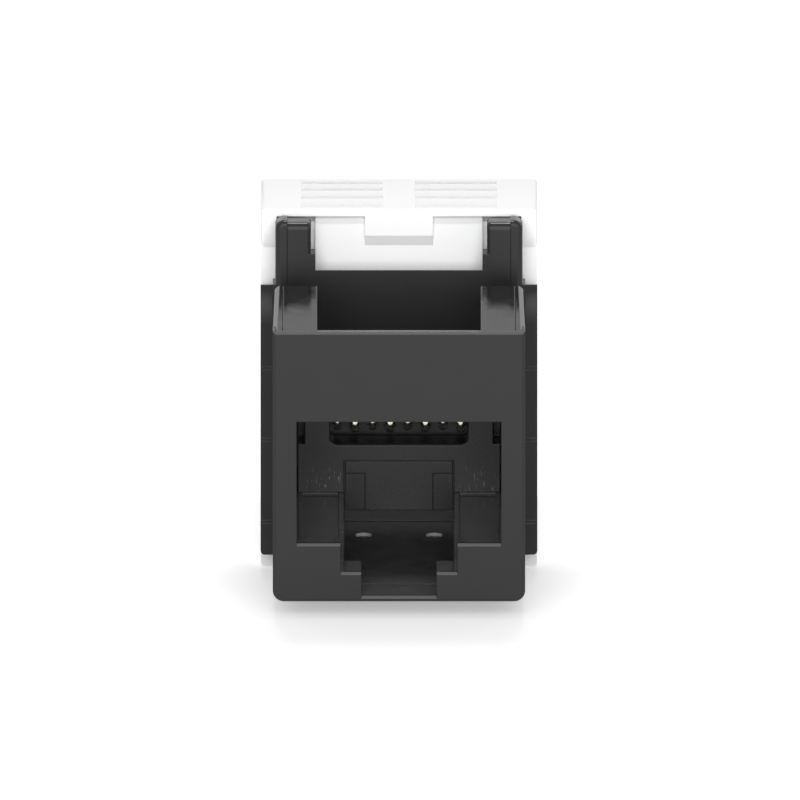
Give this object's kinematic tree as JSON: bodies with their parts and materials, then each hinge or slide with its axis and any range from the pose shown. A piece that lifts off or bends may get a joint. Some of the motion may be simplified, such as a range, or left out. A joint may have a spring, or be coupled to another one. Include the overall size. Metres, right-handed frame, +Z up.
{
  "type": "keystone jack",
  "caption": "Snap-in modular jack for a panel opening: black front with plug opening, latch and horns, white rear with a hinged wiring cap.",
  "frame": {"origin": "middle of the closed jack's footprint, on the plane of its feet", "axes": "+X to the right of someone who faces the plug opening, +Y from the bezel to the cable side, +Z up, from the fixed lug to the latch"},
  "size_m": [0.016, 0.0288, 0.0213],
  "materials": {
    "black_housing": "satin black moulding",
    "black_carrier": "matt black moulding",
    "board": "solder-resist green",
    "white_block": "matt white moulding",
    "white_shell": "satin white moulding",
    "white_cap": "satin white moulding",
    "white_guide": "matt white moulding",
    "contact_metal": "gold-plated spring wire",
    "terminal_metal": "tinned blade"
  },
  "bodies": {
    "jack": {"front_housing": "black_housing", "contact_carrier": "black_carrier", "circuit_board": "board", "terminal_block": "white_block", "rear_housing": "white_shell", "contact_wire_1": "contact_metal", "contact_wire_2": "contact_metal", "contact_wire_3": "contact_metal", "contact_wire_4": "contact_metal", "contact_wire_5": "contact_metal", "contact_wire_6": "contact_metal", "contact_wire_7": "contact_metal", "contact_wire_8": "contact_metal", "idc_terminal_1": "terminal_metal", "idc_terminal_2": "terminal_metal", "idc_terminal_3": "terminal_metal", "idc_terminal_4": "terminal_metal", "idc_terminal_5": "terminal_metal", "idc_terminal_6": "terminal_metal", "idc_terminal_7": "terminal_metal", "idc_terminal_8": "terminal_metal"},
    "cap": {"flip_cap": "white_cap", "wire_guide": "white_guide"}
  },
  "joints": [
    {"name": "cap_hinge", "type": "hinge", "parent": "jack", "child": "cap", "pos_m": [0, 0.0122, 0.01365], "axis": [-1, 0, 0], "range_deg": [0, 95]}
  ]
}
